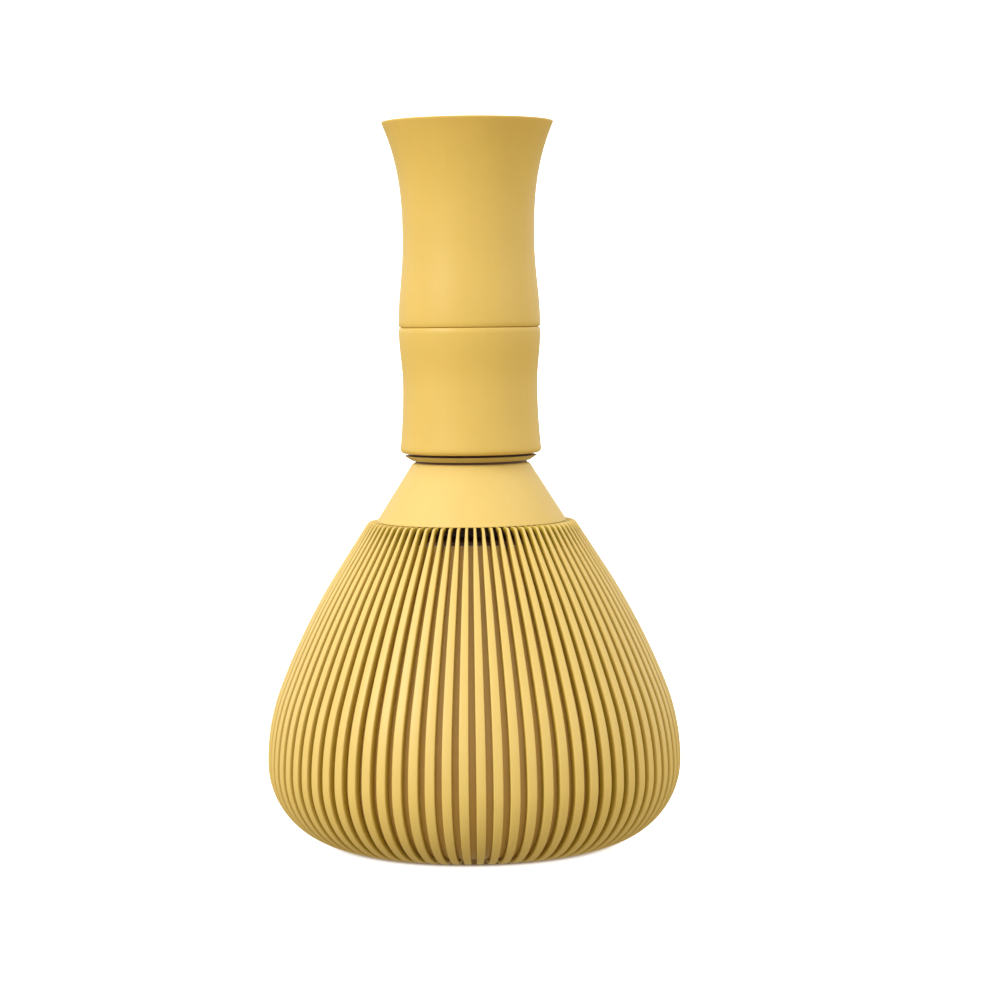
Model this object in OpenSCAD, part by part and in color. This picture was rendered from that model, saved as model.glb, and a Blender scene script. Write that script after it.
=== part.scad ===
// Tea whisk with a two-part hourglass grip, a conical cover and two crowns of tines.
// The whisk stands on its tines: +Z is up, the origin is on the axis at the level of the tines' lowest point.
// All sizes are in millimetres.

/* [Grip] */
// Diameter of the flared rim at the top of the grip
rim_d = 28.7; // [25:0.1:33]
// Diameter of the upper grip's waist
upper_waist_d = 21.9; // [20.5:0.1:25.5]
// Diameter of the grip at the seam between its two parts
seam_d = 23.6; // [22:0.1:27.5]
// Diameter of the lower grip's waist
lower_waist_d = 22.4; // [20.5:0.1:26]
// Diameter of the grip's lower end
grip_end_d = 23.5; // [22:0.1:27.5]
// Length of the upper grip
upper_grip_len = 34; // [27:0.1:45]
// Length of the lower grip
lower_grip_len = 20.9; // [19:0.1:30]
// Height of the upper grip's waist above the seam
upper_waist_at = 14.3; // [10:0.1:18]
// Depth of the dish in the top of the grip
dish_depth = 6; // [2:0.1:8]
// Width of the flat ring round the dish
rim_width = 1.7; // [1.2:0.1:2.5]
// Thickness of the webs that close the grip's bores
web = 3; // [2:0.1:4]
// Chamfer on the edges that meet at the seam
seam_chamfer = 0.35; // [0.1:0.05:0.5]

/* [Joints inside the grip] */
// Diameter of the hub's spigot that the grip pulls off
spigot_d = 15; // [14:0.1:16]
// Length of the hub's spigot above the collar
spigot_len = 16; // [12.5:0.1:17]
// Diameter of the lower grip's tenon inside the upper grip
tenon_d = 16; // [14:0.1:16.5]
// Length of the tenon
tenon_len = 8; // [6:0.1:12]
// Wall of the hollow spigot and the hollow tenon
core_wall = 2.2; // [1.5:0.1:3]
// Width of the two keys that stop the grip turning
key_w = 2.4; // [1.5:0.1:3]
// Height of the keys above the spigot
key_h = 0.8; // [0.5:0.1:0.9]
// Length of the keys above the collar
key_len = 5; // [3:0.1:6]
// Cord diameter of the sealing ring on the spigot
seal_d = 1.4; // [1:0.1:2]

/* [Head] */
// Height of the collar under the grip
collar_h = 1.6; // [1.3:0.1:3]
// Diameter of the collar's bead at its upper edge
collar_d = 22.2; // [20.5:0.1:23]
// Diameter of the collar's bead at its lower edge
collar_foot_d = 19.8; // [19.4:0.1:20.4]
// Height of the grooves above and below the bead
collar_groove_h = 0.4; // [0.3:0.05:0.6]
// How far the grooves lie in from the edge of the cover's top
collar_groove_inset = 0.4; // [0.2:0.1:1]
// Diameter of the conical cover's top
cover_top_d = 19.4; // [18.4:0.1:20.5]
// Diameter of the conical cover's lower edge
cover_edge_d = 31.8; // [30.6:0.1:35]
// Height of the conical cover
cover_h = 9.8; // [9.2:0.1:13]
// Wall of the conical cover
cover_wall = 1.3; // [1:0.1:1.6]
// Height of the outer tines' cap, the disc that closes the head above the tines
cap_h = 4.3; // [4:0.1:4.6]
// Depth of the hub's foot in the cap
foot_depth = 1.2; // [0.8:0.1:1.4]
// Diameter of the inner tines' stem in the cap
stem_d = 9; // [8:0.1:10]
// Length of the stem
stem_len = 1.8; // [1.2:0.1:1.8]

/* [Outer tines] */
// Number of outer tines
tine_count = 80; // [48:4:96]
// Share of each pitch that the tine fills
tine_share = 0.52; // [0.4:0.01:0.6]
// How far the tines stand out past the cover's edge
tine_step = 1.4; // [1:0.1:2]
// Slope of the tines where they leave the cover, from straight down
root_slope = 32.8; // [30:0.1:34]
// Length of the straight stretch below the cover
root_len = 8.7; // [8:0.1:12]
// Radius of the long curve of the flank
flank_r = 112; // [95:1:130]
// Radius of the curve above the belly
belly_r = 35; // [30:0.5:38]
// Radius of the tight curve from the belly round to the tips
turn_r = 13.6; // [12:0.1:15]
// How far the tips curl up past level, in degrees
tip_curl = 20; // [5:1:30]
// Depth of a tine at its root
root_depth = 1.4; // [1.2:0.1:1.8]
// Depth of a tine at the belly
belly_depth = 1.4; // [1:0.1:1.8]
// Depth of a tine at its tip
tip_depth = 0.4; // [0.3:0.1:1]
// Height of the root that ties a tine to its tang under the cover's edge
root_h = 1.4; // [1.2:0.1:1.8]

/* [Inner tines] */
// Number of inner tines
inner_count = 40; // [24:4:48]
// Share of each inner pitch that the tine fills
inner_share = 0.85; // [0.7:0.01:0.88]
// Depth of an inner tine
inner_depth = 1.2; // [0.9:0.1:1.6]
// Space between the outer tines and the inner ones at the root
crown_gap = 0.4; // [0.3:0.1:1]
// Space between them at the tips
tip_gap = 0.15; // [0.1:0.05:0.4]
// Distance from the cap down to the inner tines' disc
disc_drop = 4.3; // [3.8:0.1:5]
// Thickness of that disc
disc_h = 2; // [1.5:0.1:3]
// Diameter of the neck between the cap and the disc
neck_d = 12; // [10:0.1:16]

/* [Hidden] */

// Clearances: between pieces that stay together, between the pieces that pull apart, and over a seal.
fit_gap = 0.05;
slide_gap = 0.08;
seal_gap = 0.02;
end_gap = 0.6;
fine = 96;

bamboo_yellow = "#e6c25e";
pale_yellow = "#f6d98a";
deep_yellow = "#c9a24b";

// Turns of the outer tines' three curves: flank, above the belly, and from the belly to the tip.
flank_turn = 11.5;
belly_turn = root_slope - flank_turn;
under_turn = 90 + tip_curl;

// The tine's outer edge, as [radius, turn in degrees, number of chords] for each curve.
tine_curves = [[flank_r, flank_turn, 3], [belly_r, belly_turn, 2], [turn_r, under_turn, 6]];
root_r = cover_edge_d / 2 + tine_step;

function step_along(p, length, slope) = [p[0] + length * sin(slope), p[1] - length * cos(slope), slope];

// Points [radius, height, slope] along one curve, from the state p, without p itself.
function curve_points(p, radius, turn, chords, i = 1) =
    let (part = turn / chords,
         chord = 2 * radius * sin(part / 2),
         q = step_along(p, chord, p[2] - part / 2),
         next = [q[0], q[1], p[2] - part])
    i > chords ? [] : concat([next], curve_points(next, radius, turn, chords, i + 1));

function all_curves(p, curves, i = 0) =
    i >= len(curves) ? [] :
    let (points = curve_points(p, curves[i][0], curves[i][1], curves[i][2]))
    concat(points, all_curves(points[len(points) - 1], curves, i + 1));

// The outer edge with its root at height 0, and the height that puts its lowest point on the floor.
edge_start = [root_r, 0, root_slope];
edge_bend = step_along(edge_start, root_len, root_slope);
edge_path = concat([edge_start, edge_bend], all_curves(edge_bend, tine_curves));
edge_z = -min([for (p = edge_path) p[1]]);

// Heights of the assembly, from the tines up.
cover_top_z = edge_z + cover_h;
grip_z = cover_top_z + collar_h;
seam_z = grip_z + lower_grip_len;
rim_z = seam_z + upper_grip_len;

// The cover's slope, and the radius of its inner face at a height.
cover_slope = (cover_edge_d - cover_top_d) / 2 / cover_h;
cover_wall_r = cover_wall * sqrt(1 + cover_slope * cover_slope);
function cover_r(z) = cover_top_d / 2 + (cover_top_z - z) * cover_slope;
function cover_inner_r(z) = cover_r(z) - cover_wall_r;

// Levels and radii inside the head. The outer tines' cap lies between cap_z and cap_top_z.
tang_w = 1;
tang_drop = 0.5;
cap_lift = 2;
cap_z = edge_z + cap_lift;
cap_top_z = cap_z + cap_h;
cover_roof_z = cover_top_z - cover_wall;
body_r = spigot_d / 2 + 0.9;
foot_z = cap_top_z - foot_depth;
tang_r = cover_inner_r(cap_z) - fit_gap - tang_w;
disc_z = cap_z - disc_drop;
stem_r = stem_d / 2;
stem_gap = 0.3;

// Radius on an S-shaped stretch from a at t = 0 to b at t = 1.
function s_curve(a, b, t) = a + (b - a) * (1 - cos(180 * t)) / 2;
function ramp(a, b, t, power) = a + (b - a) * pow(t, power);

// Outlines [radius, height] of the two grips, from their lower ends up.
upper_steps = 10;
flare_steps = 14;
flare_power = 2.6;
function upper_outline() = concat(
    [[seam_d / 2 - seam_chamfer, seam_z]],
    [for (i = [0:upper_steps]) let (t = i / upper_steps)
        [s_curve(seam_d / 2, upper_waist_d / 2, t),
         seam_z + seam_chamfer + t * (upper_waist_at - seam_chamfer)]],
    [for (i = [1:flare_steps]) let (t = i / flare_steps)
        [ramp(upper_waist_d / 2, rim_d / 2, t, flare_power),
         seam_z + upper_waist_at + t * (rim_z - seam_z - upper_waist_at)]]);

lower_waist_share = 0.54;
lower_steps = 8;
grip_round = 0.7;
function lower_outline() =
    let (waist_z = grip_z + lower_waist_share * lower_grip_len,
         low_z = grip_z + grip_round)
    concat(
        [for (i = [0:3]) let (a = 30 * i)
            [grip_end_d / 2 - grip_round * (1 - sin(a)), grip_z + grip_round * (1 - cos(a))]],
        [for (i = [1:lower_steps]) let (t = 1 - i / lower_steps)
            [ramp(lower_waist_d / 2, grip_end_d / 2, t, 2), waist_z - t * (waist_z - low_z)]],
        [for (i = [1:lower_steps]) let (t = i / lower_steps)
            [s_curve(lower_waist_d / 2, seam_d / 2, t),
             waist_z + t * (seam_z - seam_chamfer - waist_z)]],
        [[seam_d / 2 - seam_chamfer, seam_z]]);

// A solid of revolution inside an outline that runs from its lower end up.
module turned(outline) {
    bottom = outline[0];
    top = outline[len(outline) - 1];
    rotate_extrude($fn = fine)
        polygon(concat([[0, bottom[1]]], outline, [[0, top[1]]]));
}

// A cylinder between two heights.
module rod(radius, low, high) {
    translate([0, 0, low]) cylinder(r = radius, h = high - low, $fn = fine);
}

// The two keys on the spigot, or their ways in a bore when grown by a clearance.
module keys(low, high, gap = 0) {
    reach = 2 * (spigot_d / 2 + key_h + gap);
    translate([0, 0, (low + high) / 2])
        cube([reach, key_w + 2 * gap, high - low], center = true);
}

module upper_grip() {
    dish_r = rim_d / 2 - rim_width;
    dish_z = rim_z - dish_depth;
    dish_floor_r = upper_waist_d / 2 - 1.4;
    color(bamboo_yellow)
    difference() {
        turned(upper_outline());
        rod(tenon_d / 2 + fit_gap, seam_z - 1, dish_z - web);
        translate([0, 0, dish_z])
            cylinder(r1 = dish_floor_r, r2 = dish_r, h = dish_depth, $fn = fine);
        rod(dish_r, rim_z, rim_z + 1);
    }
}

module lower_grip() {
    socket_r = spigot_d / 2 + slide_gap;
    socket_top = grip_z + spigot_len + end_gap;
    color(bamboo_yellow)
    difference() {
        union() {
            turned(lower_outline());
            rod(tenon_d / 2, seam_z - 1, seam_z + tenon_len);
        }
        rod(socket_r, grip_z - 1, socket_top);
        keys(grip_z - 1, grip_z + key_len + end_gap, slide_gap);
        rod(tenon_d / 2 - core_wall, socket_top + web, seam_z + tenon_len + 1);
    }
}

module collar() {
    color(deep_yellow)
    difference() {
        union() {
            rod(cover_top_d / 2 - collar_groove_inset, cover_top_z, grip_z);
            translate([0, 0, cover_top_z + collar_groove_h])
                cylinder(r1 = collar_foot_d / 2, r2 = collar_d / 2,
                         h = collar_h - 2 * collar_groove_h, $fn = fine);
        }
        rod(spigot_d / 2 + fit_gap, cover_top_z - 1, grip_z + 1);
        keys(cover_top_z - 1, grip_z + 1, fit_gap);
    }
}

module cone_cover() {
    color(pale_yellow)
    difference() {
        translate([0, 0, edge_z])
            cylinder(r1 = cover_edge_d / 2, r2 = cover_top_d / 2, h = cover_h, $fn = fine);
        translate([0, 0, edge_z - cover_wall])
            cylinder(r1 = cover_inner_r(edge_z - cover_wall), r2 = cover_inner_r(cover_roof_z),
                     h = cover_h, $fn = fine);
        rod(spigot_d / 2 + fit_gap, edge_z, cover_top_z + 1);
        keys(cover_roof_z - 0.5, cover_top_z + 1, fit_gap);
    }
}

module hub() {
    spigot_top = grip_z + spigot_len;
    groove_z = spigot_top - 4;
    groove_r = spigot_d / 2 + slide_gap - seal_gap - seal_d - seal_gap;
    color(deep_yellow)
    difference() {
        union() {
            rod(spigot_d / 2, cover_roof_z - 1, spigot_top);
            rod(body_r, foot_z, cover_roof_z);
            keys(cover_roof_z, grip_z + key_len);
        }
        rod(spigot_d / 2 - core_wall - seal_d, grip_z, spigot_top + 1);
        difference() {
            rod(spigot_d / 2 + 1, groove_z - seal_d / 2 - seal_gap, groove_z + seal_d / 2 + seal_gap);
            rod(groove_r, groove_z - seal_d, groove_z + seal_d);
        }
    }
}

module seal_ring() {
    color("#3b3a36")
    translate([0, 0, grip_z + spigot_len - 4])
        rotate_extrude($fn = fine)
            translate([spigot_d / 2 + slide_gap - seal_gap - seal_d / 2, 0])
                circle(r = seal_d / 2, $fn = 32);
}

// Depth of a tine at a share of its length: root to belly, then belly to tip.
belly_share = 0.5;
function tine_depth(t) = t < belly_share
    ? root_depth + (belly_depth - root_depth) * t / belly_share
    : belly_depth + (tip_depth - belly_depth) * (t - belly_share) / (1 - belly_share);

// Radius at a height of the line that lies a distance in from the tines' straight root stretch.
function root_line_r(z, further) = root_r - further / cos(root_slope) + (edge_z - z) * tan(root_slope);

// Outline of an outer tine with its tang. The tang passes inside the cover's edge to the cap.
module tine_outline() {
    last = len(edge_path) - 1;
    tang_z = cap_z + 0.6;
    root_z = edge_z - root_h;
    tang_root_r = tang_r + (tang_z - edge_z) * cover_slope;
    outer = [for (p = edge_path) [p[0], p[1] + edge_z]];
    inner = [for (i = [last:-1:1]) let (p = edge_path[i], d = tine_depth(i / last))
        [p[0] - d * cos(p[2]), p[1] + edge_z - d * sin(p[2])]];
    polygon(concat(outer, inner,
        [[root_line_r(root_z, root_depth), root_z],
         [tang_root_r, edge_z - tang_drop],
         [tang_r, tang_z],
         [cover_inner_r(tang_z) - fit_gap - 0.3, tang_z],
         [cover_inner_r(edge_z) - fit_gap, edge_z]]));
}

// Turn of the outer tines in pitches: a gap faces along each axis. The slots between the inner tines
// lie behind every second outer tine.
tine_phase = 0.5;

// One cap inside the cover carries all the outer tines, in one moulding.
module outer_tines() {
    pitch = 360 / tine_count;
    width = pitch * tine_share;
    color(bamboo_yellow)
    union() {
        difference() {
            translate([0, 0, cap_z])
                cylinder(r1 = cover_inner_r(cap_z) - fit_gap, r2 = cover_inner_r(cap_top_z) - fit_gap,
                         h = cap_h, $fn = fine);
            rod(body_r + fit_gap, foot_z, cap_top_z + 1);
            rod(stem_r + fit_gap, cap_z - 1, cap_z + stem_len + stem_gap);
        }
        for (i = [0:tine_count - 1])
            rotate([0, 0, (i + tine_phase) * pitch - width / 2])
                rotate_extrude(angle = width, $fn = fine)
                    tine_outline();
    }
}

// A point of the outer tines' edge moved inwards by the tine's depth, the space behind it and more.
function behind_tine(i, further) =
    let (t = i / (len(edge_path) - 1),
         p = edge_path[i],
         d = tine_depth(t) + crown_gap + (tip_gap - crown_gap) * t + further)
    [p[0] - d * cos(p[2]), p[1] + edge_z - d * sin(p[2])];

// Outline of an inner tine: it follows the outer tines' inner edge and ends short of their tips.
module inner_outline() {
    last = len(edge_path) - 2;
    rim_r = root_line_r(disc_z, root_depth + crown_gap);
    polygon(concat(
        [[rim_r - 2, disc_z - disc_h / 2], [rim_r - 2, disc_z - 0.2], [rim_r - 0.2, disc_z - 0.2]],
        [for (i = [1:last]) behind_tine(i, 0)],
        [for (i = [last:-1:1]) behind_tine(i, inner_depth)]));
}

// A stem, a disc below the cap and the inner tines that hang from the disc's rim, in one moulding.
module inner_tines() {
    pitch = 360 / inner_count;
    width = pitch * inner_share;
    first = tine_phase * 360 / tine_count + pitch / 2;
    rim_r = root_line_r(disc_z, root_depth + crown_gap) - 0.3;
    color(deep_yellow)
    union() {
        rod(stem_r, disc_z - disc_h / 2, cap_z + stem_len);
        rod(neck_d / 2, disc_z - disc_h / 2, cap_z);
        rod(rim_r, disc_z - disc_h, disc_z);
        for (i = [0:inner_count - 1])
            rotate([0, 0, first + i * pitch - width / 2])
                rotate_extrude(angle = width, $fn = fine)
                    inner_outline();
    }
}

upper_grip();
lower_grip();
collar();
cone_cover();
hub();
seal_ring();
outer_tines();
inner_tines();
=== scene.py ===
"""A moulded tea whisk: smooth, round-edged pieces on the CAD model's bodies, with satin resin materials."""

import math

import bmesh
import bpy
from mathutils import Matrix, Vector


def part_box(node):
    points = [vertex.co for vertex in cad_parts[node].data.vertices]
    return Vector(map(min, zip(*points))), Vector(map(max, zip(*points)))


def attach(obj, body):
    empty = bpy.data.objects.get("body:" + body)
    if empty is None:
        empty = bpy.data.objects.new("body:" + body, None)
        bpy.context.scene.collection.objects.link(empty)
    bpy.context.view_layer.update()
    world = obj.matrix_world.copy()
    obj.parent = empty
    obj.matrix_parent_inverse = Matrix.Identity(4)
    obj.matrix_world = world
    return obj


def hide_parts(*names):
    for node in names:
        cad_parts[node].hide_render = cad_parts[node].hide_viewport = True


MM = 0.001
TURN = 2 * math.pi


# ---- The frame: where the CAD pieces are ----

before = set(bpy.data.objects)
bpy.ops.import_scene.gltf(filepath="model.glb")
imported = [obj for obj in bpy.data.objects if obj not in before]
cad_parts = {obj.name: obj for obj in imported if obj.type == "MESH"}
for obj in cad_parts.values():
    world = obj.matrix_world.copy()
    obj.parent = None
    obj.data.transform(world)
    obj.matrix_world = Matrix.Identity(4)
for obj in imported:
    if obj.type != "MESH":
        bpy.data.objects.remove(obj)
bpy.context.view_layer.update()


def low(node):
    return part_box(node)[0].z / MM


def high(node):
    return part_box(node)[1].z / MM


def radius(node):
    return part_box(node)[1].x / MM


EDGE_Z = low("cone_cover")
COVER_TOP_Z = high("cone_cover")
GRIP_Z = low("lower_grip")
SEAM_Z = low("upper_grip")
RIM_Z = high("upper_grip")
COVER_EDGE_R = radius("cone_cover")
RIM_R = radius("upper_grip")


# ---- Sizes the CAD model has and its boxes don't show, in millimetres ----

UPPER_WAIST_R = 10.95
UPPER_WAIST_UP = 14.3
SEAM_R = 11.8
LOWER_WAIST_R = 11.2
LOWER_WAIST_SHARE = 0.54
GRIP_END_R = 11.75
FLARE_POWER = 2.6
DISH_DEPTH = 6.0
RIM_WIDTH = 1.7
WEB = 3.0
SEAM_LIP, SEAM_BEVEL_R, SEAM_BEVEL_H, SEAM_FACE = 0.38, 0.12, 0.1, 0.4
GRIP_ROUND = 0.7
TENON_BEVEL = 0.3
DISH_INSET = 1.4
SPIGOT_R = 7.5
SPIGOT_LEN = 16.0
TENON_R = 8.0
TENON_LEN = 8.0
CORE_WALL = 2.2
KEY_W = 2.4
KEY_H = 0.8
KEY_LEN = 5.0
COVER_TOP_R = 9.7
COLLAR_FOOT_R = 9.9
COLLAR_GROOVE_H = 0.4
COLLAR_GROOVE_INSET = 0.4
COVER_WALL = 1.3
FIT_GAP = 0.05
SLIDE_GAP = 0.08
END_GAP = 0.6
CAP_LIFT = 2.0
CAP_H = 4.3
FOOT_DEPTH = 1.2
STEM_R = 4.5
STEM_LEN = 1.8
STEM_GAP = 0.3
BODY_R = SPIGOT_R + 0.9

TINE_COUNT = 80
TINE_SHARE, ROOT_SHARE, SHARE_LEN = 0.57, 0.32, 12.0
TINE_STEP = 1.4
ROOT_SLOPE = math.radians(32.8)
ROOT_LEN = 8.7
FLANK_R, FLANK_TURN = 112.0, math.radians(11.5)
BELLY_R, BELLY_TURN = 35.0, ROOT_SLOPE - FLANK_TURN
UNDER_R, UNDER_TURN = 13.6, math.radians(110)
ROOT_DEPTH, BELLY_DEPTH, TIP_DEPTH = 1.4, 1.4, 0.4
ROOT_H, TANG_DROP = 1.4, 0.5
BELLY_SHARE = 0.62

INNER_COUNT = 40
INNER_SHARE = 0.9
INNER_DEPTH = 1.2
TINE_BEVEL, INNER_BEVEL = 0.16, 0.2
CROWN_GAP, TIP_GAP = 0.4, 0.15
TINE_PHASE = 0.5
DISC_DROP = 4.3
DISC_H = 2.0
NECK_R = 6.0

CAP_Z = EDGE_Z + CAP_LIFT
CAP_TOP_Z = CAP_Z + CAP_H
FOOT_Z = CAP_TOP_Z - FOOT_DEPTH
DISC_Z = CAP_Z - DISC_DROP
COVER_SLOPE = (COVER_EDGE_R - COVER_TOP_R) / (COVER_TOP_Z - EDGE_Z)
COVER_WALL_R = COVER_WALL * math.sqrt(1 + COVER_SLOPE**2)
COVER_ROOF_Z = COVER_TOP_Z - COVER_WALL


def cover_inner_r(z):
    return COVER_TOP_R + (COVER_TOP_Z - z) * COVER_SLOPE - COVER_WALL_R


TANG_R = cover_inner_r(CAP_Z) - FIT_GAP - 1
TANG_Z = CAP_Z + 0.6
TANG_ROOT_R = TANG_R + (TANG_Z - EDGE_Z) * COVER_SLOPE


# ---- Mesh tools ----

SHARP_DEGREES = 40


def add_piece(name, mesh, body, node, material):
    """One finished piece: smooth, riding on its body and standing for its CAD node."""
    piece = bpy.data.objects.new(name, mesh)
    bpy.context.collection.objects.link(piece)
    mesh.materials.append(material)
    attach(piece, body)
    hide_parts(node)
    return piece


def mesh_from(name, verts, faces, sharp_degrees=SHARP_DEGREES):
    """A mesh from points in millimetres. A point's fourth number, where it has one, is kept as its inset,
    which sets its painted shade.
    """
    mesh = bpy.data.meshes.new(name)
    mesh.from_pydata([Vector(v[:3]) * MM for v in verts], [], faces)
    mesh.update()
    if len(verts[0]) == 4:
        mesh.attributes.new("inset", "FLOAT", "POINT").data.foreach_set("value", [v[3] for v in verts])
    made = bmesh.new()
    made.from_mesh(mesh)
    bmesh.ops.recalc_face_normals(made, faces=made.faces)
    made.to_mesh(mesh)
    made.free()
    mesh.shade_smooth()
    mesh.set_sharp_from_angle(angle=math.radians(sharp_degrees))
    return mesh


def rounded(outline, corners, steps=4):
    """The outline with some corners rounded: corners maps a point's index to its rounding radius."""
    points = []
    count = len(outline)
    for i, here in enumerate(outline):
        size = corners.get(i)
        if not size:
            points.append(here)
            continue
        here = Vector(here)
        before = Vector(outline[i - 1])
        after = Vector(outline[(i + 1) % count])
        start = here + (before - here).normalized() * size
        end = here + (after - here).normalized() * size
        for k in range(steps + 1):
            t = k / steps
            points.append(tuple(start * (1 - t) ** 2 + here * 2 * t * (1 - t) + end * t * t))
    return points


def lathe(outline, sides=160):
    """Vertices and faces of a closed outline [(radius, height), ...] turned about the axis."""
    verts = []
    faces = []
    for s in range(sides):
        angle = TURN * s / sides
        verts += [(r * math.cos(angle), r * math.sin(angle), z) for r, z in outline]
    count = len(outline)
    for s in range(sides):
        here, there = s * count, (s + 1) % sides * count
        for i in range(count):
            j = (i + 1) % count
            faces.append((here + i, there + i, there + j, here + j))
    return verts, faces


def lathe_solid(outline, sides=160):
    """The same for an open outline that starts and ends on the axis."""
    verts, faces = lathe(outline[1:-1], sides)
    count = len(outline) - 2
    faces = [f for f in faces if not {f[0] % count, f[2] % count} == {0, count - 1} or count < 3]
    bottom, top = len(verts), len(verts) + 1
    verts += [(0, 0, outline[0][1]), (0, 0, outline[-1][1])]
    for s in range(sides):
        here, there = s * count, (s + 1) % sides * count
        faces.append((bottom, there, here))
        faces.append((top, here + count - 1, there + count - 1))
    return verts, faces


def s_curve(a, b, t):
    return a + (b - a) * (1 - math.cos(math.pi * t)) / 2


def ramp(a, b, t, power):
    return a + (b - a) * t**power


# ---- The crowns of tines ----


def step_along(point, length, slope):
    return (point[0] + length * math.sin(slope), point[1] - length * math.cos(slope), slope)


def curve(state, curve_radius, turn, chords):
    points = []
    part = turn / chords
    for _ in range(chords):
        r, z, _ = step_along(state, 2 * curve_radius * math.sin(part / 2), state[2] - part / 2)
        state = (r, z, state[2] - part)
        points.append(state)
    return points


def outer_edge():
    """States (radius, height, slope) down the outer edge of a tine, close together."""
    path = [(COVER_EDGE_R + TINE_STEP, EDGE_Z, ROOT_SLOPE)]
    for _ in range(4):
        path.append(step_along(path[-1], ROOT_LEN / 4, ROOT_SLOPE))
    path += curve(path[-1], FLANK_R, FLANK_TURN, 12)
    path += curve(path[-1], BELLY_R, BELLY_TURN, 10)
    path += curve(path[-1], UNDER_R, UNDER_TURN, 30)
    return path


EDGE = outer_edge()


def lengths(path):
    total = [0.0]
    for a, b in zip(path, path[1:]):
        total.append(total[-1] + math.dist(a[:2], b[:2]))
    return total


EDGE_LENGTHS = lengths(EDGE)


def root_line_r(z, further):
    """Radius at a height of the line that lies a distance in from the tines' straight root stretch."""
    return EDGE[0][0] - further / math.cos(ROOT_SLOPE) + (EDGE_Z - z) * math.tan(ROOT_SLOPE)


def tine_depth(i):
    t = EDGE_LENGTHS[i] / EDGE_LENGTHS[-1]
    if t < BELLY_SHARE:
        return ROOT_DEPTH + (BELLY_DEPTH - ROOT_DEPTH) * t / BELLY_SHARE
    return BELLY_DEPTH + (TIP_DEPTH - BELLY_DEPTH) * (t - BELLY_SHARE) / (1 - BELLY_SHARE)


def crown_gap(i):
    """Space between the crowns at a point of the outer edge."""
    return CROWN_GAP + (TIP_GAP - CROWN_GAP) * EDGE_LENGTHS[i] / EDGE_LENGTHS[-1]


def behind(i, further):
    """The point that lies a distance in from the outer edge, square to it."""
    r, z, slope = EDGE[i]
    return (r - further * math.cos(slope), z - further * math.sin(slope))


def half_width(i):
    """Half the angle that an outer tine fills at a point of its edge: slim at the root, then wider."""
    t = min(EDGE_LENGTHS[i] / SHARE_LEN, 1)
    return TURN / TINE_COUNT * (ROOT_SHARE + (TINE_SHARE - ROOT_SHARE) * t * (2 - t)) / 2


CORNER_STEPS = 3
# Painted shade under the cover's edge: the dark band's height and fade, and the inset of full painted shade.
BAND_H, BAND_FADE = 2.0, 3.4
FULL_SHADE = 2.0


def root_shade(z):
    """How deep in the painted shade under the cover a height is: 1 up to the dark band's foot, then less."""
    return min(max((z - EDGE_Z + BAND_FADE) / (BAND_FADE - BAND_H), 0), 1)


def section(outer, inner, half, bevel):
    """A tine's cross-section between two points of the meridian plane, with rounded corners.

    Each point is (x, y, z, inset), where inset runs from 0 on the outer face to 1 on the inner one,
    and to 2 in the shade under the cover; the materials paint shade darker as it grows.
    """
    depth = math.dist(outer, inner)
    bevel = min(bevel, depth * 0.45, half * outer[0] * 0.7)
    points = []

    def corner(from_outer, side, order):
        for k in order:
            a = math.pi / 2 * k / CORNER_STEPS
            inset = bevel * (1 - math.sin(a))
            shrink = bevel * (1 - math.cos(a))
            t = inset / depth if from_outer else 1 - inset / depth
            r = outer[0] + (inner[0] - outer[0]) * t
            z = outer[1] + (inner[1] - outer[1]) * t
            angle = side * (half - shrink / max(r, 1))
            points.append((r * math.cos(angle), r * math.sin(angle), z, t * (1 + root_shade(z))))

    steps = range(CORNER_STEPS + 1)
    corner(True, -1, steps)
    corner(True, 1, reversed(steps))
    corner(False, 1, steps)
    corner(False, -1, reversed(steps))
    return points


def tine(stations, bevel):
    """Vertices and faces of one tine on the +X side, from its stations (outer, inner, half width)."""
    verts = []
    for outer, inner, half in stations:
        verts += section(outer, inner, half, bevel)
    ring = len(verts) // len(stations)
    faces = [tuple(range(ring - 1, -1, -1)), tuple(range(len(verts) - ring, len(verts)))]
    for s in range(len(stations) - 1):
        for k in range(ring):
            a, b = s * ring + k, s * ring + (k + 1) % ring
            faces.append((a, b, b + ring, a + ring))
    return verts, faces


def blunt_end(stations, steps=4):
    """The stations with a rounded end in place of a square one."""
    outer, inner, half = Vector(stations[-1][0]), Vector(stations[-1][1]), stations[-1][2]
    middle = (outer + inner) / 2
    along = (outer - Vector(stations[-2][0])).normalized()
    half_depth = (outer - inner).length / 2
    start = middle - along * half_depth
    ends = []
    for k in range(1, steps + 1):
        a = math.pi / 2 * k / (steps + 0.4)
        centre = start + along * half_depth * math.sin(a)
        reach = (outer - middle) * math.cos(a)
        ends.append((tuple(centre + reach), tuple(centre - reach), half * (0.6 + 0.4 * math.cos(a))))
    kept = len(stations) - 1
    while (outer - Vector(stations[kept - 1][0])).length < half_depth:
        kept -= 1
    return stations[:kept] + ends


def ring_of(one, count, phase=0.0):
    """The same vertices and faces, repeated round the axis. The phase is in pitches."""
    base_verts, base_faces = one
    verts = []
    faces = []
    for i in range(count):
        turn = Matrix.Rotation(TURN * (i + phase) / count, 3, "Z")
        offset = len(verts)
        verts += [(*(turn @ Vector(v[:3])), v[3]) for v in base_verts]
        faces += [tuple(offset + k for k in f) for f in base_faces]
    return verts, faces


def crown(core, tines):
    """Joins a plain core and its tines, and paints the core, which lies hidden, in full painted shade."""
    verts = [(*v, FULL_SHADE) for v in core[0]] + tines[0]
    offset = len(core[0])
    return verts, core[1] + [tuple(offset + k for k in f) for f in tines[1]]


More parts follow.
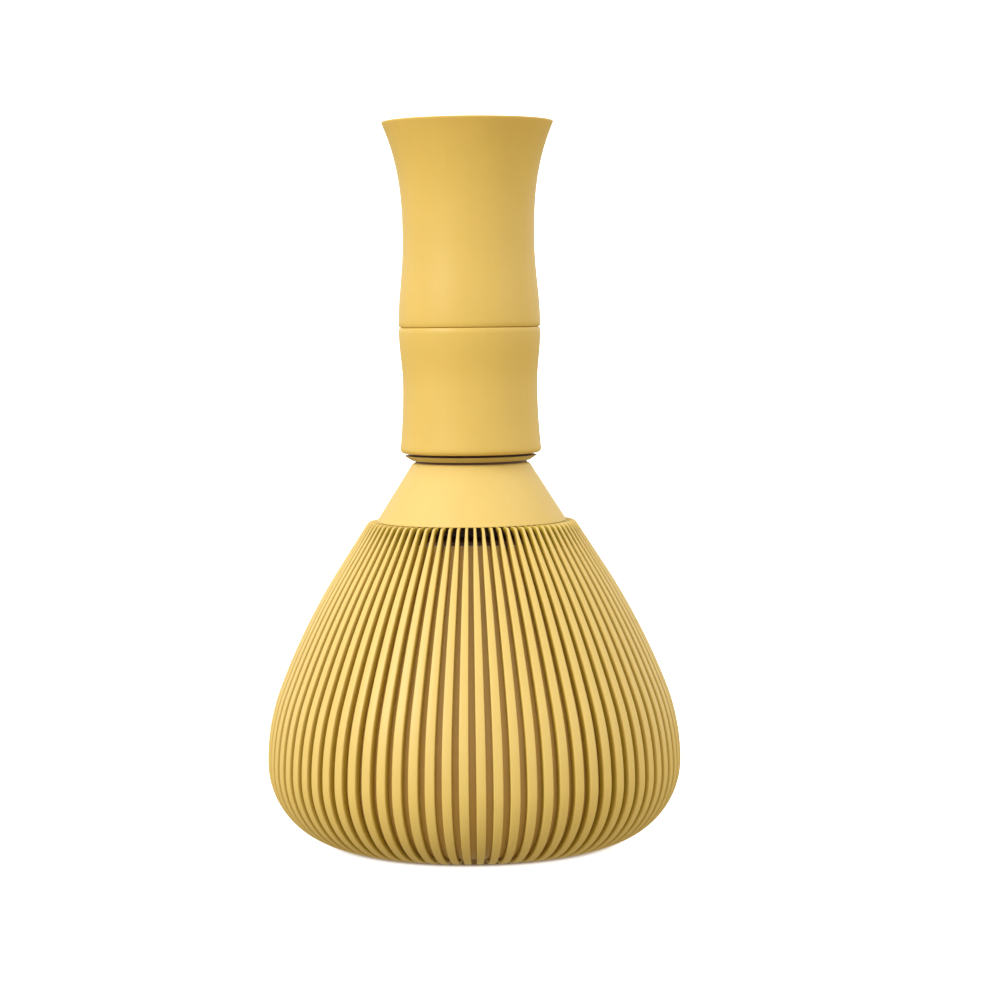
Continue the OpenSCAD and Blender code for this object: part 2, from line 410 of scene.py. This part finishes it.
def outer_crown():
    bore_r = STEM_R + FIT_GAP
    bore_top = CAP_Z + STEM_LEN + STEM_GAP
    recess_r = BODY_R + FIT_GAP
    cap = lathe_solid([
        (0, bore_top),
        (bore_r, bore_top),
        (bore_r, CAP_Z),
        (cover_inner_r(CAP_Z) - FIT_GAP, CAP_Z),
        (cover_inner_r(CAP_TOP_Z) - FIT_GAP, CAP_TOP_Z),
        (recess_r, CAP_TOP_Z),
        (recess_r, FOOT_Z),
        (0, FOOT_Z),
    ])
    root_r = EDGE[0][0]
    root_z = EDGE_Z - ROOT_H
    mouth_r = cover_inner_r(EDGE_Z) - FIT_GAP
    root_half = half_width(0)
    below = step_along(EDGE[0], 0.35, ROOT_SLOPE)[:2]
    further = step_along(EDGE[0], ROOT_H / math.cos(ROOT_SLOPE) * 0.9, ROOT_SLOPE)[:2]
    stations = [
        ((cover_inner_r(TANG_Z) - FIT_GAP - 0.3, TANG_Z), (TANG_R, TANG_Z), root_half),
        ((mouth_r, EDGE_Z), (TANG_ROOT_R - 0.2, EDGE_Z - 0.1), root_half),
        ((root_r - 0.3, EDGE_Z), (TANG_ROOT_R + 0.4, EDGE_Z - TANG_DROP), root_half),
        ((root_r - 0.08, EDGE_Z - 0.08), (TANG_ROOT_R + 1.2, EDGE_Z - TANG_DROP - 0.15), root_half),
        (below, (TANG_ROOT_R + 2.2, EDGE_Z - TANG_DROP - 0.4), root_half),
        (further, (root_line_r(root_z, ROOT_DEPTH), root_z), half_width(0) * 1.1),
    ]
    for i in range(1, len(EDGE)):
        stations.append((EDGE[i][:2], behind(i, tine_depth(i)), half_width(i)))
    return crown(cap, ring_of(tine(blunt_end(stations), TINE_BEVEL), TINE_COUNT, TINE_PHASE))


def inner_crown():
    rim_r = root_line_r(DISC_Z, ROOT_DEPTH + CROWN_GAP) - 0.1
    core = lathe_solid([
        (0, DISC_Z - DISC_H),
        (rim_r - 0.4, DISC_Z - DISC_H),
        (rim_r, DISC_Z - DISC_H + 0.4),
        (rim_r, DISC_Z - 0.3),
        (rim_r - 0.3, DISC_Z),
        (NECK_R, DISC_Z),
        (NECK_R, CAP_Z),
        (STEM_R, CAP_Z),
        (STEM_R, CAP_Z + STEM_LEN),
        (0, CAP_Z + STEM_LEN),
    ])
    half = TURN / INNER_COUNT * INNER_SHARE / 2
    stations = [((rim_r - 0.3, DISC_Z - 0.2), (rim_r - 1.5, DISC_Z - DISC_H / 2), half)]
    for i in range(2, len(EDGE) - 5):
        depth = tine_depth(i) + crown_gap(i)
        stations.append((behind(i, depth), behind(i, depth + INNER_DEPTH), half))
    phase = 0.5 + TINE_PHASE * INNER_COUNT / TINE_COUNT
    return crown(core, ring_of(tine(blunt_end(stations), INNER_BEVEL), INNER_COUNT, phase))


# ---- The grip and the cover ----


def upper_grip_outline():
    dish_z = RIM_Z - DISH_DEPTH
    bore_top_z = dish_z - WEB
    waist_z = SEAM_Z + UPPER_WAIST_UP
    tenon_hole_r = TENON_R + FIT_GAP
    points = [(0, bore_top_z), (tenon_hole_r, bore_top_z), (tenon_hole_r, SEAM_Z)]
    points += [
        (SEAM_R - SEAM_FACE, SEAM_Z),
        (SEAM_R - SEAM_BEVEL_R, SEAM_Z + SEAM_BEVEL_H),
        (SEAM_R, SEAM_Z + SEAM_LIP),
    ]
    for k in range(1, 25):
        t = k / 24
        z = SEAM_Z + SEAM_LIP + t * (UPPER_WAIST_UP - SEAM_LIP)
        points.append((s_curve(SEAM_R, UPPER_WAIST_R, t), z))
    for k in range(1, 29):
        t = k / 28
        points.append((ramp(UPPER_WAIST_R, RIM_R, t, FLARE_POWER), waist_z + t * (RIM_Z - waist_z)))
    rim = len(points) - 1
    points += [(RIM_R - RIM_WIDTH, RIM_Z), (UPPER_WAIST_R - DISH_INSET, dish_z), (0, dish_z)]
    return rounded(points, {rim: 0.35, rim + 1: 0.5, rim + 2: 1.2})


def lower_grip_outline():
    waist_z = GRIP_Z + LOWER_WAIST_SHARE * (SEAM_Z - GRIP_Z)
    socket_r = SPIGOT_R + SLIDE_GAP
    socket_top = GRIP_Z + SPIGOT_LEN + END_GAP
    tenon_top = SEAM_Z + TENON_LEN
    points = [(0, socket_top), (socket_r, socket_top), (socket_r, GRIP_Z)]
    points.append((GRIP_END_R - GRIP_ROUND, GRIP_Z))
    for k in range(1, 6):
        a = math.pi / 2 * k / 5
        points.append((GRIP_END_R - GRIP_ROUND * (1 - math.sin(a)), GRIP_Z + GRIP_ROUND * (1 - math.cos(a))))
    low_z = GRIP_Z + GRIP_ROUND
    for k in range(1, 19):
        t = 1 - k / 18
        points.append((ramp(LOWER_WAIST_R, GRIP_END_R, t, 2), waist_z - t * (waist_z - low_z)))
    for k in range(1, 17):
        t = k / 16
        points.append((s_curve(LOWER_WAIST_R, SEAM_R, t), waist_z + t * (SEAM_Z - SEAM_LIP - waist_z)))
    points += [(SEAM_R - SEAM_BEVEL_R, SEAM_Z - SEAM_BEVEL_H), (SEAM_R - SEAM_FACE, SEAM_Z)]
    points += [(TENON_R, SEAM_Z), (TENON_R, tenon_top - TENON_BEVEL), (TENON_R - TENON_BEVEL, tenon_top)]
    return points + [
        (TENON_R - CORE_WALL, tenon_top),
        (TENON_R - CORE_WALL, socket_top + WEB),
        (0, socket_top + WEB),
    ]


def collar_outline():
    bead_r = radius("collar")
    core_r = COVER_TOP_R - COLLAR_GROOVE_INSET
    inner = SPIGOT_R + FIT_GAP
    bead_low = COVER_TOP_Z + COLLAR_GROOVE_H
    bead_high = GRIP_Z - COLLAR_GROOVE_H
    points = [
        (inner, COVER_TOP_Z),
        (core_r, COVER_TOP_Z),
        (core_r, bead_low),
        (COLLAR_FOOT_R, bead_low),
        (bead_r, bead_high),
        (core_r, bead_high),
        (core_r, GRIP_Z),
        (inner, GRIP_Z),
    ]
    return rounded(points, {3: 0.12, 4: 0.15})


def shaded_collar():
    """The collar, with painted shade on the hidden core in its grooves."""
    verts, faces = lathe(collar_outline())
    shades = [0.0 if math.hypot(x, y) > COLLAR_FOOT_R - 0.3 else FULL_SHADE for x, y, _ in verts]
    return [(*v, shade) for v, shade in zip(verts, shades)], faces


def cover_outline():
    inner = SPIGOT_R + FIT_GAP
    points = [
        (inner, COVER_TOP_Z),
        (inner, COVER_ROOF_Z),
        (cover_inner_r(COVER_ROOF_Z), COVER_ROOF_Z),
        (cover_inner_r(EDGE_Z), EDGE_Z),
        (COVER_EDGE_R, EDGE_Z),
        (COVER_TOP_R, COVER_TOP_Z),
    ]
    return rounded(points, {4: 0.3, 5: 0.5})


def cut_keyways(piece, low_z, high_z, gap):
    """Cuts the two keyways of the spigot's keys out of a piece."""
    reach = SPIGOT_R + KEY_H + gap
    size = Vector((2 * reach, KEY_W + 2 * gap, high_z - low_z)) * MM
    cutter_mesh = bpy.data.meshes.new("keyway_cutter")
    made = bmesh.new()
    place = Matrix.Translation((0, 0, (low_z + high_z) / 2 * MM)) @ Matrix.Diagonal((*size, 1))
    bmesh.ops.create_cube(made, size=1, matrix=place)
    made.to_mesh(cutter_mesh)
    made.free()
    cutter = bpy.data.objects.new("keyway_cutter", cutter_mesh)
    bpy.context.collection.objects.link(cutter)
    cut = piece.modifiers.new("keyways", "BOOLEAN")
    cut.operation, cut.solver, cut.object = "DIFFERENCE", "EXACT", cutter
    graph = bpy.context.evaluated_depsgraph_get()
    result = bpy.data.meshes.new_from_object(piece.evaluated_get(graph))
    piece.modifiers.remove(cut)
    piece.data = result
    bpy.data.objects.remove(cutter)
    result.set_sharp_from_angle(angle=math.radians(SHARP_DEGREES))


# ---- Materials ----

# Painted shade: over these ranges of the inset a surface turns to its flank colour, then to a dark brown.
FLANK_SHADE_RANGE, PAINTED_SHADE_RANGE = (0.1, 0.5), (0.9, 1.6)
PAINTED_SHADE_BROWN = (0.11, 0.034, 0.008)


class Nodes:
    """A short way to build a material's nodes."""

    def __init__(self, name):
        self.material = bpy.data.materials.new(name)
        self.material.use_nodes = True
        self.tree = self.material.node_tree
        self.shader = self.tree.nodes["Principled BSDF"]

    def add(self, kind, **values):
        node = self.tree.nodes.new(kind)
        for key, value in values.items():
            if key in node.inputs:
                node.inputs[key].default_value = value
            else:
                setattr(node, key, value)
        return node

    def link(self, out, into):
        self.tree.links.new(out, into)

    @staticmethod
    def socket(sockets, identifier):
        """A socket of a node whose sockets share a name."""
        return next(s for s in sockets if s.identifier == identifier)


def resin(name, pale, deep, rough=0.42, glow=0.12, grain=0.6, flank_shade=None):
    """Satin moulded resin: clouded colour, faint streaks along the axis, and a fine pebbled skin.

    A flank colour, painted shade, takes over from the outer face of a tine inwards,
    and then a dark brown of painted shade in recesses and under the cover.
    """
    n = Nodes(name)
    place = n.add("ShaderNodeTexCoord").outputs["Object"]
    clouds = n.add("ShaderNodeTexNoise", **{"Scale": 90.0, "Detail": 4.0, "Roughness": 0.55})
    n.link(place, clouds.inputs["Vector"])
    stretch = n.add("ShaderNodeMapping")
    stretch.inputs["Scale"].default_value = (700, 700, 25)
    n.link(place, stretch.inputs["Vector"])
    streaks = n.add("ShaderNodeTexNoise", **{"Scale": 1.0, "Detail": 3.0, "Roughness": 0.6})
    n.link(stretch.outputs["Vector"], streaks.inputs["Vector"])
    both = n.add("ShaderNodeMix", data_type="FLOAT")
    both.inputs["Factor"].default_value = 0.35
    n.link(clouds.outputs["Fac"], both.inputs["A"])
    n.link(streaks.outputs["Fac"], both.inputs["B"])
    tint = n.add("ShaderNodeValToRGB")
    tint.color_ramp.elements[0].position, tint.color_ramp.elements[0].color = 0.3, (*deep, 1)
    tint.color_ramp.elements[1].position, tint.color_ramp.elements[1].color = 0.7, (*pale, 1)
    n.link(both.outputs["Result"], tint.inputs["Fac"])
    colour = tint.outputs["Color"]
    # Painted shade: with a flank colour given, flanks and then recesses darken as the inset grows.
    if flank_shade:
        inset = n.add("ShaderNodeAttribute", attribute_name="inset")
        for colour_in, (start, end) in ((flank_shade, FLANK_SHADE_RANGE), (PAINTED_SHADE_BROWN, PAINTED_SHADE_RANGE)):
            inward = n.add("ShaderNodeMapRange")
            inward.inputs["From Min"].default_value = start
            inward.inputs["From Max"].default_value = end
            n.link(inset.outputs["Fac"], inward.inputs["Value"])
            blend = n.add("ShaderNodeMix", data_type="RGBA")
            n.link(inward.outputs["Result"], blend.inputs["Factor"])
            n.link(colour, n.socket(blend.inputs, "A_Color"))
            n.socket(blend.inputs, "B_Color").default_value = (*colour_in, 1)
            colour = n.socket(blend.outputs, "Result_Color")
    n.link(colour, n.shader.inputs["Base Color"])
    shine = n.add("ShaderNodeMapRange")
    shine.inputs["To Min"].default_value = rough - 0.05
    shine.inputs["To Max"].default_value = rough + 0.08
    n.link(clouds.outputs["Fac"], shine.inputs["Value"])
    n.link(shine.outputs["Result"], n.shader.inputs["Roughness"])
    skin = n.add("ShaderNodeTexNoise", **{"Scale": 2600.0, "Detail": 2.0})
    n.link(place, skin.inputs["Vector"])
    bump = n.add("ShaderNodeBump", **{"Strength": grain, "Distance": 0.00002})
    n.link(skin.outputs["Fac"], bump.inputs["Height"])
    n.link(bump.outputs["Normal"], n.shader.inputs["Normal"])
    n.shader.inputs["Subsurface Weight"].default_value = glow
    n.shader.inputs["Subsurface Radius"].default_value = (1.0, 0.55, 0.18)
    n.shader.inputs["Subsurface Scale"].default_value = 0.0016
    n.shader.inputs["IOR"].default_value = 1.49
    return n.material


# The flank colours below are painted shade on the sides of the tines and in the collar's grooves.
GRIP = resin("grip_resin", (0.785, 0.53, 0.12), (0.745, 0.50, 0.11))
# The collar's colour, darker than the grip's, is painted shade under the grip's lip.
COLLAR = resin("collar_resin", (0.56, 0.42, 0.13), (0.52, 0.38, 0.11), flank_shade=(0.36, 0.24, 0.05))
COVER = resin("cover_resin", (0.81, 0.57, 0.165), (0.77, 0.535, 0.145), rough=0.5, glow=0.1)
TINES = resin("tine_resin", (0.81, 0.575, 0.165), (0.77, 0.54, 0.145), glow=0.06, flank_shade=(0.50, 0.36, 0.03))
INNER = resin("inner_resin", (0.80, 0.50, 0.13), (0.74, 0.45, 0.11), flank_shade=(0.40, 0.24, 0.05))
HUB = resin("hub_resin", (0.26, 0.15, 0.06), (0.20, 0.11, 0.04), rough=0.5)
RUBBER = resin("seal_rubber", (0.03, 0.03, 0.028), (0.02, 0.02, 0.02), rough=0.6, glow=0.0)


# ---- The pieces ----

upper = add_piece("upper_barrel", mesh_from("upper_barrel", *lathe_solid(upper_grip_outline())),
                  "grip", "upper_grip", GRIP)
lower = add_piece("lower_barrel", mesh_from("lower_barrel", *lathe_solid(lower_grip_outline())),
                  "grip", "lower_grip", GRIP)
cut_keyways(lower, GRIP_Z - 1, GRIP_Z + KEY_LEN + END_GAP, SLIDE_GAP)
ring = add_piece("collar_ring", mesh_from("collar_ring", *shaded_collar()), "head", "collar", COLLAR)
cut_keyways(ring, COVER_TOP_Z - 1, GRIP_Z + 1, FIT_GAP)
cover = add_piece("cone_shell", mesh_from("cone_shell", *lathe(cover_outline())),
                  "head", "cone_cover", COVER)
cut_keyways(cover, COVER_ROOF_Z - 0.5, COVER_TOP_Z + 1, FIT_GAP)
add_piece("outer_crown", mesh_from("outer_crown", *outer_crown(), sharp_degrees=60),
          "head", "outer_tines", TINES)
add_piece("inner_crown", mesh_from("inner_crown", *inner_crown(), sharp_degrees=60),
          "head", "inner_tines", INNER)


def paint(node, material):
    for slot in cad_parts[node].material_slots:
        slot.material = material


paint("hub", HUB)
paint("seal_ring", RUBBER)


# ---- Floor, light and camera ----

FLOOR_FRONT, FLOOR_BACK, FLOOR_SIDE = -60.0, 0.9, 60.0
SWEEP_R, WALL_H, SWEEP_STEPS = 0.4, 1.5, 12
# The floor's grey and glow, and the brown and radius of the painted shadow disc under the whisk.
SWEEP_GREY, SWEEP_GLOW, SWEEP_SHADE = 0.9, 1.0, (0.10, 0.06, 0.02)
SHADE_R, SHADE_SOFT = 0.026, 0.004


def studio_sweep():
    """A pale floor that curves up into a plain wall, lights nothing and glows clean and pale itself.

    A brown disc of painted shadow lies on it right under the whisk, where the gaps between the tips show it.
    """
    rows = [(FLOOR_FRONT, 0.0)]
    for k in range(SWEEP_STEPS + 1):
        a = math.pi / 2 * k / SWEEP_STEPS
        rows.append((FLOOR_BACK + SWEEP_R * math.sin(a), SWEEP_R * (1 - math.cos(a))))
    rows.append((FLOOR_BACK + SWEEP_R, WALL_H))
    verts = [(side, y, z) for y, z in rows for side in (-FLOOR_SIDE, FLOOR_SIDE)]
    faces = [(2 * k, 2 * k + 1, 2 * k + 3, 2 * k + 2) for k in range(len(rows) - 1)]
    mesh = bpy.data.meshes.new("studio_sweep")
    mesh.from_pydata(verts, [], faces)
    mesh.shade_smooth()
    paint_nodes = Nodes("sweep_paint")
    paint_nodes.shader.inputs["Roughness"].default_value = 0.9
    paint_nodes.shader.inputs["Specular IOR Level"].default_value = 0.1
    place = paint_nodes.add("ShaderNodeTexCoord").outputs["Object"]
    away = paint_nodes.add("ShaderNodeVectorMath", operation="LENGTH")
    paint_nodes.link(place, away.inputs[0])
    # Painted shadow: brown inside the disc under the whisk, fading to the pale floor at its edge.
    shadow_mask = paint_nodes.add("ShaderNodeMapRange", interpolation_type="SMOOTHSTEP")
    shadow_mask.inputs["From Min"].default_value = SHADE_R - SHADE_SOFT
    shadow_mask.inputs["From Max"].default_value = SHADE_R
    paint_nodes.link(away.outputs["Value"], shadow_mask.inputs["Value"])
    for name, value in (("Base Color", SWEEP_GREY), ("Emission Color", SWEEP_GLOW)):
        tone = paint_nodes.add("ShaderNodeMix", data_type="RGBA")
        Nodes.socket(tone.inputs, "A_Color").default_value = (*SWEEP_SHADE, 1)
        Nodes.socket(tone.inputs, "B_Color").default_value = (value, value, value, 1)
        paint_nodes.link(shadow_mask.outputs["Result"], Nodes.socket(tone.inputs, "Factor_Float"))
        paint_nodes.link(Nodes.socket(tone.outputs, "Result_Color"), paint_nodes.shader.inputs[name])
    paint_nodes.shader.inputs["Emission Strength"].default_value = 1.0
    mesh.materials.append(paint_nodes.material)
    sweep = bpy.data.objects.new("studio_sweep", mesh)
    bpy.context.collection.objects.link(sweep)
    sweep.visible_diffuse = False
    sweep.visible_glossy = False
    sweep.visible_shadow = False


studio_sweep()


def studio_world(horizon, zenith, below):
    """Soft light from all round and above, and a weaker, warm light from under the horizon."""
    world = bpy.data.worlds.new("studio")
    bpy.context.scene.world = world
    world.use_nodes = True
    tree = world.node_tree
    place = tree.nodes.new("ShaderNodeTexCoord")
    split = tree.nodes.new("ShaderNodeSeparateXYZ")
    tree.links.new(place.outputs["Generated"], split.inputs["Vector"])
    ramp_node = tree.nodes.new("ShaderNodeValToRGB")
    stops = ramp_node.color_ramp.elements
    stops[0].position, stops[0].color = 0.0, (*below, 1)
    stops[1].position, stops[1].color = 1.0, (*zenith, 1)
    for position, value in ((0.48, below), (0.495, horizon), (0.62, horizon)):
        stops.new(position).color = (*value, 1)
    height = tree.nodes.new("ShaderNodeMapRange")
    height.inputs["From Min"].default_value = -1.0
    tree.links.new(split.outputs["Z"], height.inputs["Value"])
    tree.links.new(height.outputs["Result"], ramp_node.inputs["Fac"])
    tree.links.new(ramp_node.outputs["Color"], tree.nodes["Background"].inputs["Color"])


studio_world(horizon=(1.04, 1.04, 1.04), zenith=(0.98, 0.98, 0.98), below=(0.44, 0.38, 0.24))


LIGHT_TARGET = Vector((0, 0, 0.06))


def soft_light(name, place, size, watts):
    data = bpy.data.lights.new(name, "AREA")
    data.energy, data.size = watts, size
    light = bpy.data.objects.new(name, data)
    bpy.context.collection.objects.link(light)
    light.location = place
    light.rotation_mode = "QUATERNION"
    light.rotation_quaternion = (LIGHT_TARGET - Vector(place)).to_track_quat("-Z", "Y")


soft_light("key", (-0.75, -0.65, 0.65), 0.5, 6.6)
soft_light("fill", (0.9, -0.35, 0.45), 0.7, 1.0)

camera_data = bpy.data.cameras.new("camera")
camera_data.sensor_width = 36.0
camera_data.lens = 97.2
camera_data.clip_start = 0.01
camera = bpy.data.objects.new("camera", camera_data)
bpy.context.collection.objects.link(camera)
CAMERA_PLACE = (0.00476, -0.4503, 0.0884)
CAMERA_PITCH = math.radians(90 - 3.99)
CAMERA_ROLL = math.radians(-0.63)
camera.matrix_world = (
    Matrix.Translation(CAMERA_PLACE)
    @ Matrix.Rotation(CAMERA_PITCH, 4, "X")
    @ Matrix.Rotation(CAMERA_ROLL, 4, "Z")
)
bpy.context.scene.camera = camera
bpy.context.scene.view_settings.view_transform = "Standard"
